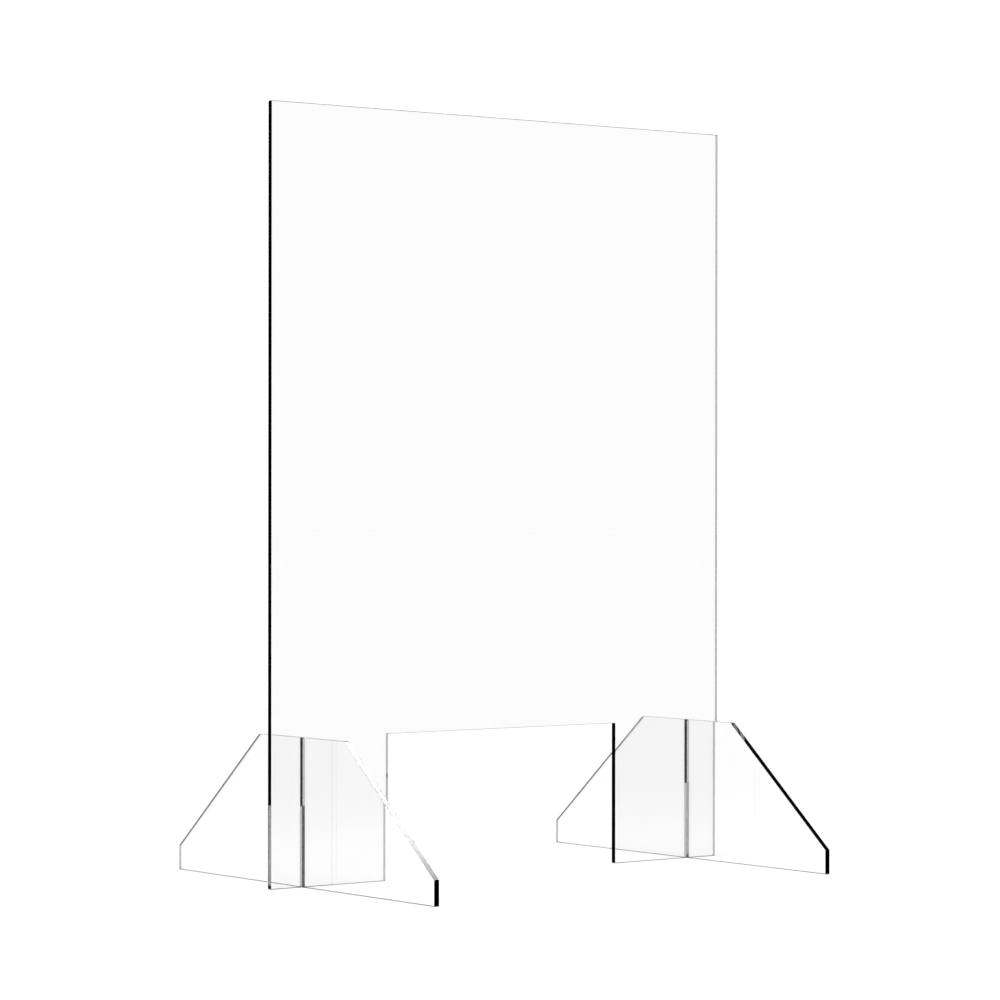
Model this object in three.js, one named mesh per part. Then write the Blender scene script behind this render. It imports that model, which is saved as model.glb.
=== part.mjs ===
// A free-standing sneeze guard in clear acrylic sheet: one upright panel, with an opening at the
// counter for passing things through, slots down over two feet that stand at right angles to it.
//
// Millimetres. X runs along the panel, Y from the front to the back, and Z up. The origin is on the
// counter, midway between the feet and in the middle of the panel's thickness.
import * as THREE from 'three';

// Driving dimensions
const INCH = 25.4;
const SHEET = 6; // thickness of every sheet
const ARRIS = 0.3; // width of the small flat along every sheet edge
const SLOT_PLAY = 0.3; // between the wall of a slot and the sheet that stands in it
const LAP_PLAY = 0.5; // between the foot's slot floor and the end of the panel's slot

const PANEL_WIDTH = 23.5 * INCH;
const PANEL_HEIGHT = 31.5 * INCH;
const OPENING_WIDTH = 12 * INCH;
const OPENING_HEIGHT = 6 * INCH;

const FOOT_LENGTH = 18 * INCH;
const FOOT_HEIGHT = 6 * INCH;
const FOOT_TOP = 6 * INCH; // level stretch between the two slants
const FOOT_TOE = 1 * INCH; // upright edge at each end
const FOOT_INSET = 1.625 * INCH; // from the panel's side edge to the middle of the foot
const FOOT_SLOT_DEPTH = 2.75 * INCH;

// The slots cross half way: the foot's is open at the top and the panel's at the bottom, so that
// both sheets reach the counter.
const SLOT_WIDTH = SHEET + 2 * SLOT_PLAY;
const FOOT_SLOT_FLOOR = FOOT_HEIGHT - FOOT_SLOT_DEPTH;
const PANEL_SLOT_END = FOOT_SLOT_FLOOR + LAP_PLAY;
const FOOT_X = PANEL_WIDTH / 2 - FOOT_INSET;

const ACRYLIC = { color: 0xeef6f8, roughness: 0.05, metalness: 0, transparent: true, opacity: 0.35 };

// The corners of a notch in a level edge, in the order that an outline meets them on its way to
// the side named by toward (+1 or -1).
function notch(middle, width, edge, end, toward) {
  const near = middle - (toward * width) / 2;
  const far = middle + (toward * width) / 2;
  return [
    [near, edge],
    [near, end],
    [far, end],
    [far, edge],
  ];
}

function panelOutline() {
  const side = PANEL_WIDTH / 2;
  return [
    [-side, 0],
    ...notch(-FOOT_X, SLOT_WIDTH, 0, PANEL_SLOT_END, 1),
    ...notch(0, OPENING_WIDTH, 0, OPENING_HEIGHT, 1),
    ...notch(FOOT_X, SLOT_WIDTH, 0, PANEL_SLOT_END, 1),
    [side, 0],
    [side, PANEL_HEIGHT],
    [-side, PANEL_HEIGHT],
  ];
}

function footOutline() {
  const toe = FOOT_LENGTH / 2;
  const shoulder = FOOT_TOP / 2;
  return [
    [-toe, 0],
    [toe, 0],
    [toe, FOOT_TOE],
    [shoulder, FOOT_HEIGHT],
    ...notch(0, SLOT_WIDTH, FOOT_HEIGHT, FOOT_SLOT_FLOOR, -1),
    [-shoulder, FOOT_HEIGHT],
    [-toe, FOOT_TOE],
  ];
}

// A sheet cut to an outline, with a small flat along every edge. The outline lies in the sheet's
// own XY plane, and the sheet's thickness is centred on that plane.
function cutSheet(name, outline) {
  const shape = new THREE.Shape(outline.map(([across, up]) => new THREE.Vector2(across, up)));
  const geometry = new THREE.ExtrudeGeometry(shape, {
    depth: SHEET - 2 * ARRIS,
    bevelThickness: ARRIS,
    bevelSize: ARRIS,
    bevelOffset: -ARRIS,
    bevelSegments: 1,
  });
  geometry.translate(0, 0, ARRIS - SHEET / 2);
  const sheet = new THREE.Mesh(geometry, new THREE.MeshStandardMaterial(ACRYLIC));
  sheet.name = name;
  return sheet;
}

// The panel stands in the XZ plane.
function makePanel() {
  const panel = cutSheet('panel', panelOutline());
  panel.rotation.set(Math.PI / 2, 0, 0);
  return panel;
}

// A foot stands in a plane along Y and Z.
function makeFoot(name, x) {
  const foot = cutSheet(name, footOutline());
  foot.rotation.set(Math.PI / 2, Math.PI / 2, 0);
  foot.position.x = x;
  return foot;
}

const sneezeGuard = new THREE.Group();
sneezeGuard.add(makePanel());
sneezeGuard.add(makeFoot('left_foot', -FOOT_X));
sneezeGuard.add(makeFoot('right_foot', FOOT_X));

export default sneezeGuard;
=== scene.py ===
"""A free-standing sneeze guard in clear acrylic: a panel and two feet that slot together."""

import math

import bmesh
import bpy
from mathutils import Matrix, Vector


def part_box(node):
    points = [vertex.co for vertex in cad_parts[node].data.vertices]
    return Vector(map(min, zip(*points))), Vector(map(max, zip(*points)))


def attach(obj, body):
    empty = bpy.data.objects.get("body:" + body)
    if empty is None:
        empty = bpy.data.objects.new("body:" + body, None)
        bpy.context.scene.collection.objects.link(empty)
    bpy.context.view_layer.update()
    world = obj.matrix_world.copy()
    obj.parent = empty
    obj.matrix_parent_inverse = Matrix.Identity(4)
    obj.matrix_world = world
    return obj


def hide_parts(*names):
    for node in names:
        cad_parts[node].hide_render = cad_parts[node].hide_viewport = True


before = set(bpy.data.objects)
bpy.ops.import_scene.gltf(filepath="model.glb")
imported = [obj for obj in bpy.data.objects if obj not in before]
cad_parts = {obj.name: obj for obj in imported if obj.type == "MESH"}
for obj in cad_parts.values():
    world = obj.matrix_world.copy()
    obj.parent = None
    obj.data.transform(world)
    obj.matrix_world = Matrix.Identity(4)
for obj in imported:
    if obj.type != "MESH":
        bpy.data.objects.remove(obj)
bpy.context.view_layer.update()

# The sheets, in metres
INCH = 0.0254
OPENING_WIDTH = 12 * INCH
OPENING_HEIGHT = 6 * INCH
FOOT_TOP = 6 * INCH  # level stretch between the two slants
FOOT_TOE = 1 * INCH  # upright edge at each end
FOOT_SLOT_DEPTH = 2.75 * INCH
SLOT_PLAY = 0.0003  # between the wall of a slot and the sheet that stands in it
LAP_PLAY = 0.0005  # between the foot's slot floor and the end of the panel's slot
CORNER_RADIUS = 0.0008  # the cutter's, at each corner of an outline
CORNER_STEPS = 6
ARRIS = 0.00012  # the hair of edge that polishing takes off
ARRIS_STEPS = 3
ARRIS_ANGLE = 40  # degrees: two surfaces that turn by more have an arris between them
FLATNESS = 100  # of 100: the widest surface at a corner sets its shading

# Worked out from the CAD parts in model.glb
panel_low, panel_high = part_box("panel")
foot_low, foot_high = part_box("left_foot")
right_low, right_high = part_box("right_foot")
thickness = panel_high.y - panel_low.y
foot_x = (right_low.x + right_high.x) / 2
slot_width = thickness + 2 * SLOT_PLAY
foot_slot_floor = foot_high.z - FOOT_SLOT_DEPTH
panel_slot_end = foot_slot_floor + LAP_PLAY

# A sheet's thickness lies along X or Y. Its mesh has two material slots.
X = 0
Y = 1
FACE = 0
EDGE = 1

# The acrylic
ACRYLIC_IOR = 1.49
PANEL_CLEAR = 0.91  # what the two faces let through together, apart from reflections
# the feet are given a clearer tint than the panel, though they are the same acrylic: painted light,
# making the feet lighter
FOOT_CLEAR_PAINTED_LIGHTER = 0.935
EDGE_IN = 0.75  # what a cut edge lets in
UPRIGHT_EDGE_KEEPS = 0.48  # what it leaves of light that meets it from inside the sheet
# a level edge is given far less: painted shade, darker the nearer an edge is to level
LEVEL_EDGE_PAINTED_SHADE = 0.06

# Its fine detail, made from noise that runs from 0 to 1. Grains are to a metre. Over its band of the
# noise, a mark comes up from nothing to its full strength.
WAVE_GRAINS = (6, 6, 6)
WAVE_HEIGHT = 0.00004
HAZE_GRAINS = (9, 9, 9)
HAZE_BAND = (0.35, 0.75)
HAZE_ROUGHNESS = 0.006
HAIRLINE_GRAINS = (1500, 1500, 18)
HAIRLINE_BAND = (0.64, 0.8)
HAIRLINE_ROUGHNESS = 0.02
CUT_GRAINS_THROUGH = 30  # along the thickness
CUT_GRAINS_ALONG = 1800
CUT_HEIGHT = 0.000002
CUT_ROUGHNESS = 0.03
SCUFF_GRAINS = (90, 90, 90)
SCUFF_BAND = (0.6, 0.8)
SCUFF_ROUGHNESS = 0.05

# The studio
WHITE = (1, 1, 1, 1)
BACKDROP = 1.0626  # strength of the white all round
FLOOR_DROP = 0.0002  # leaves a hair of air under the sheets
FLOOR_SIDE = 60
SOFTBOX_SIDE = 0.6
SOFTBOX_HEIGHT = 1.6
SOFTBOX_SPREAD = 70  # degrees
SOFTBOX_POWER = 0.5
CEILING = 0.05  # strength, where it is whole
CEILING_RISE = (0.2, 0.45)  # sines of the elevations where it starts and where it is whole
GLINT = 27  # strength of the lamp
GLINT_TOWARD = (0.55, 0.115, 0.827)
GLINT_REACH = (0.070, 0.098)  # radians from its middle to where it starts to fade and to its end
GLOSSY_BOUNCES = 8

# The camera
CAMERA_PLACE = (-2.43225, -3.15229, 0.40183)
CAMERA_YAW = 37.6097  # from +Y towards +X
CAMERA_PITCH = -0.10106  # from level
CAMERA_ROLL = 0.05404
CAMERA_LENS = 134.886  # millimetres, as the sensor is
CAMERA_SENSOR = 36
CAMERA_NEAR = 0.05
CAMERA_FAR = 200


def make_camera():
    data = bpy.data.cameras.new("camera")
    data.lens = CAMERA_LENS
    data.sensor_width = CAMERA_SENSOR
    data.clip_start = CAMERA_NEAR
    data.clip_end = CAMERA_FAR
    camera = bpy.data.objects.new("camera", data)
    turn = (
        Matrix.Rotation(math.radians(-CAMERA_YAW), 4, "Z")
        @ Matrix.Rotation(math.radians(90 + CAMERA_PITCH), 4, "X")
        @ Matrix.Rotation(math.radians(CAMERA_ROLL), 4, "Z")
    )
    camera.matrix_world = Matrix.Translation(CAMERA_PLACE) @ turn
    bpy.context.scene.collection.objects.link(camera)
    bpy.context.scene.camera = camera


def notch(middle, width, edge, end, toward):
    """The four corners of a slot that runs in from an edge of the outline.

    They come in the order that the outline meets them on its way to the side named by toward, 1 or -1.
    """
    near = middle - toward * width / 2
    far = middle + toward * width / 2
    return [(near, edge), (near, end), (far, end), (far, edge)]


def eased(points):
    """The outline with each corner turned into a short arc, as the cutter leaves it."""
    rounded = []
    for i, corner in enumerate(points):
        here = Vector(corner)
        back = (Vector(points[i - 1]) - here).normalized()
        on = (Vector(points[(i + 1) % len(points)]) - here).normalized()
        half_turn = back.angle(on) / 2
        centre = here + (back + on).normalized() * CORNER_RADIUS / math.sin(half_turn)
        start = here + back * CORNER_RADIUS / math.tan(half_turn)
        end = here + on * CORNER_RADIUS / math.tan(half_turn)
        spoke = start - centre
        sweep = spoke.angle_signed(end - centre)
        for step in range(CORNER_STEPS + 1):
            rounded.append(centre + Matrix.Rotation(-sweep * step / CORNER_STEPS, 2) @ spoke)
    return rounded


def panel_outline():
    return eased([
        (panel_low.x, 0),
        *notch(-foot_x, slot_width, 0, panel_slot_end, 1),
        *notch(0, OPENING_WIDTH, 0, OPENING_HEIGHT, 1),
        *notch(foot_x, slot_width, 0, panel_slot_end, 1),
        (panel_high.x, 0),
        (panel_high.x, panel_high.z),
        (panel_low.x, panel_high.z),
    ])


def foot_outline():
    return eased([
        (foot_low.y, 0),
        (foot_high.y, 0),
        (foot_high.y, FOOT_TOE),
        (FOOT_TOP / 2, foot_high.z),
        *notch(0, slot_width, foot_high.z, foot_slot_floor, -1),
        (-FOOT_TOP / 2, foot_high.z),
        (foot_low.y, FOOT_TOE),
    ])


def sheet_mesh(name, outline, axis, middle):
    """A sheet cut to an outline, with its thickness along an axis and centred on middle."""
    bm = bmesh.new()
    sides = []
    for through in (middle - thickness / 2, middle + thickness / 2):
        if axis == X:
            corners = [(through, across, up) for across, up in outline]
        else:
            corners = [(across, through, up) for across, up in outline]
        sides.append([bm.verts.new(corner) for corner in corners])
    near, far = sides
    bm.faces.new(near).material_index = FACE
    bm.faces.new(reversed(far)).material_index = FACE
    for i in range(len(outline)):
        bm.faces.new((near[i], near[i - 1], far[i - 1], far[i])).material_index = EDGE
    bmesh.ops.recalc_face_normals(bm, faces=bm.faces)
    mesh = bpy.data.meshes.new(name)
    bm.to_mesh(mesh)
    bm.free()
    return mesh


def add_sheet(node, mesh, face, edge):
    """Puts a sheet in place of the CAD node of that name, on its body, with an arris on every edge."""
    mesh.materials.append(face)
    mesh.materials.append(edge)
    mesh.shade_smooth()
    sheet = bpy.data.objects.new(mesh.name, mesh)
    bpy.context.scene.collection.objects.link(sheet)
    arris = sheet.modifiers.new("arris", "BEVEL")
    arris.width = ARRIS
    arris.segments = ARRIS_STEPS
    arris.limit_method = "ANGLE"
    arris.angle_limit = math.radians(ARRIS_ANGLE)
    arris.material = EDGE
    flats = sheet.modifiers.new("flats", "WEIGHTED_NORMAL")
    flats.weight = FLATNESS
    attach(sheet, node)
    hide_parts(node)


def new_tree(name):
    material = bpy.data.materials.new(name)
    material.use_nodes = True
    return material, material.node_tree


def add_node(tree, kind, inputs, **settings):
    """A node with its settings made. An input takes a plain value, or the output that feeds it."""
    node = tree.nodes.new("ShaderNode" + kind)
    for key, value in settings.items():
        setattr(node, key, value)
    for key, value in inputs.items():
        if isinstance(value, bpy.types.NodeSocket):
            tree.links.new(value, node.inputs[key])
        else:
            node.inputs[key].default_value = value
    return node


def grains(tree, per_metre, detail):
    """Noise over the object, with so many grains to a metre along each axis."""
    place = add_node(tree, "TexCoord", {}).outputs["Object"]
    grain = add_node(tree, "Mapping", {"Vector": place, "Scale": per_metre}).outputs["Vector"]
    return add_node(tree, "TexNoise", {"Vector": grain, "Scale": 1, "Detail": detail}).outputs["Fac"]


def between(tree, value, low, high, least, most):
    """Value from low to high, turned into a number from least to most."""
    ends = {"Value": value, "From Min": low, "From Max": high, "To Min": least, "To Max": most}
    return add_node(tree, "MapRange", ends).outputs["Result"]


def scaled_sum(tree, value, scale, rest):
    return add_node(tree, "Math", {0: value, 1: scale, 2: rest}, operation="MULTIPLY_ADD").outputs[0]


def make_face(name, clear):
    """A sheet's polished face: a slow wave left by casting, a little haze, and hairlines from wiping."""
    material, tree = new_tree(name)
    haze = between(tree, grains(tree, HAZE_GRAINS, detail=4), *HAZE_BAND, 0, HAZE_ROUGHNESS)
    hairlines = between(tree, grains(tree, HAIRLINE_GRAINS, detail=2), *HAIRLINE_BAND, 0, 1)
    roughness = scaled_sum(tree, hairlines, HAIRLINE_ROUGHNESS, haze)
    waves = grains(tree, WAVE_GRAINS, detail=1)
    waved = add_node(tree, "Bump", {"Height": waves, "Distance": WAVE_HEIGHT}).outputs["Normal"]
    shader = tree.nodes["Principled BSDF"]
    shader.inputs["Base Color"].default_value = (clear, clear, clear, 1)
    shader.inputs["Transmission Weight"].default_value = 1
    shader.inputs["IOR"].default_value = ACRYLIC_IOR
    tree.links.new(roughness, shader.inputs["Roughness"])
    tree.links.new(waved, shader.inputs["Normal"])
    return material


def make_edge(name, axis):
    """A sheet's cut edge, with the cutter's fine lines across the thickness, which lies along that axis.

    From outside, an upright edge lets light in and is given no reflection, and the more an edge faces up
    the more reflection it is given: painted reflection, set by which way the edge faces. From inside it
    is a dull mirror, darker the nearer it is to level: painted shade, set by which way the edge faces.
    """
    material, tree = new_tree(name)
    tree.nodes.remove(tree.nodes["Principled BSDF"])
    cut_grains = [CUT_GRAINS_ALONG] * 3
    cut_grains[axis] = CUT_GRAINS_THROUGH
    lines = grains(tree, cut_grains, detail=2)
    scuffs = between(tree, grains(tree, SCUFF_GRAINS, detail=3), *SCUFF_BAND, 0, SCUFF_ROUGHNESS)
    lined = add_node(tree, "Bump", {"Height": lines, "Distance": CUT_HEIGHT}).outputs["Normal"]
    roughness = scaled_sum(tree, lines, CUT_ROUGHNESS, scuffs)
    geometry = add_node(tree, "NewGeometry", {}).outputs
    inside = geometry["Backfacing"]
    upward = add_node(tree, "SeparateXYZ", {"Vector": geometry["Normal"]}).outputs["Z"]
    level = add_node(tree, "Math", {0: upward}, operation="ABSOLUTE").outputs[0]
    # Painted shade: seen from inside, an edge is darker the nearer it is to level
    kept_and_painted_shade = between(tree, level, 0, 1, UPRIGHT_EDGE_KEEPS, LEVEL_EDGE_PAINTED_SHADE)
    edge_tint_and_painted_shade = between(tree, inside, 0, 1, EDGE_IN, kept_and_painted_shade)
    # Painted reflection: an edge's share of mirror-like glass is set by how far it faces up, none for
    # upright edges
    gloss_painted_by_facing = add_node(tree, "Math", {0: inside, 1: upward}, operation="MAXIMUM").outputs[0]
    surface = {"IOR": ACRYLIC_IOR, "Roughness": roughness, "Normal": lined}
    dull = add_node(tree, "BsdfRefraction", {"Color": (EDGE_IN, EDGE_IN, EDGE_IN, 1), **surface})
    glossy = add_node(tree, "BsdfGlass", {"Color": edge_tint_and_painted_shade, **surface})
    edge = add_node(tree, "MixShader", {0: gloss_painted_by_facing, 1: dull.outputs[0], 2: glossy.outputs[0]})
    tree.links.new(edge.outputs[0], tree.nodes["Material Output"].inputs["Surface"])
    return material


def make_panel():
    mesh = sheet_mesh("panel_sheet", panel_outline(), Y, 0)
    add_sheet("panel", mesh, make_face("panel_face", PANEL_CLEAR), make_edge("panel_edge", Y))


def make_feet():
    face = make_face("foot_face", FOOT_CLEAR_PAINTED_LIGHTER)
    edge = make_edge("foot_edge", X)
    for node, x in (("left_foot", -foot_x), ("right_foot", foot_x)):
        add_sheet(node, sheet_mesh(node + "_sheet", foot_outline(), X, x), face, edge)


def make_floor():
    bm = bmesh.new()
    bmesh.ops.create_grid(bm, x_segments=1, y_segments=1, size=FLOOR_SIDE / 2)
    mesh = bpy.data.meshes.new("floor")
    bm.to_mesh(mesh)
    bm.free()
    material, tree = new_tree("floor_white")
    shader = tree.nodes["Principled BSDF"]
    shader.inputs["Base Color"].default_value = WHITE
    shader.inputs["Roughness"].default_value = 1
    shader.inputs["Specular IOR Level"].default_value = 0
    mesh.materials.append(material)
    floor = bpy.data.objects.new("floor", mesh)
    floor.location.z = -FLOOR_DROP
    bpy.context.scene.collection.objects.link(floor)


def make_softbox():
    """Overhead, and close enough that the floor is brightest under the object."""
    light = bpy.data.lights.new("softbox", "AREA")
    light.size = SOFTBOX_SIDE
    light.energy = SOFTBOX_POWER
    light.spread = math.radians(SOFTBOX_SPREAD)
    softbox = bpy.data.objects.new("softbox", light)
    softbox.location.z = SOFTBOX_HEIGHT
    bpy.context.scene.collection.objects.link(softbox)


def make_world():
    """White all round. Seen in a mirror it has a dark ceiling, with one strong lamp high up.

    The floor is lit as if the ceiling and the lamp weren't there.
    """
    world = bpy.data.worlds.new("studio")
    world.use_nodes = True
    bpy.context.scene.world = world
    tree = world.node_tree
    full, none = (math.cos(reach) for reach in GLINT_REACH)
    direction = add_node(tree, "TexCoord", {}).outputs["Generated"]
    dot = {0: direction, 1: Vector(GLINT_TOWARD).normalized()}
    aim = add_node(tree, "VectorMath", dot, operation="DOT_PRODUCT").outputs["Value"]
    lamp = between(tree, aim, none, full, 0, GLINT)
    path = add_node(tree, "LightPath", {}).outputs
    reflected = {0: path["Is Glossy Ray"], 1: path["Is Transmission Ray"]}
    mirror = add_node(tree, "Math", reflected, operation="SUBTRACT").outputs[0]
    seen = {0: mirror, 1: path["Diffuse Depth"]}
    mirrored = add_node(tree, "Math", seen, operation="SUBTRACT", use_clamp=True).outputs[0]
    height = add_node(tree, "SeparateXYZ", {"Vector": direction}).outputs["Z"]
    ceiling = between(tree, height, *CEILING_RISE, BACKDROP, CEILING)
    overhead = add_node(tree, "Math", {0: lamp, 1: ceiling}, operation="ADD").outputs[0]
    light = add_node(tree, "Mix", {0: mirrored, 2: BACKDROP, 3: overhead}).outputs[0]
    tree.links.new(light, tree.nodes["Background"].inputs["Strength"])
    tree.nodes["Background"].inputs["Color"].default_value = WHITE


def tune_rendering():
    """Colours come out as lit, and reflections keep their sharpness and their full strength."""
    scene = bpy.context.scene
    scene.view_settings.view_transform = "Standard"
    scene.cycles.blur_glossy = 0
    scene.cycles.glossy_bounces = GLOSSY_BOUNCES
    scene.cycles.sample_clamp_indirect = 0


make_camera()
make_panel()
make_feet()
make_floor()
make_softbox()
make_world()
tune_rendering()
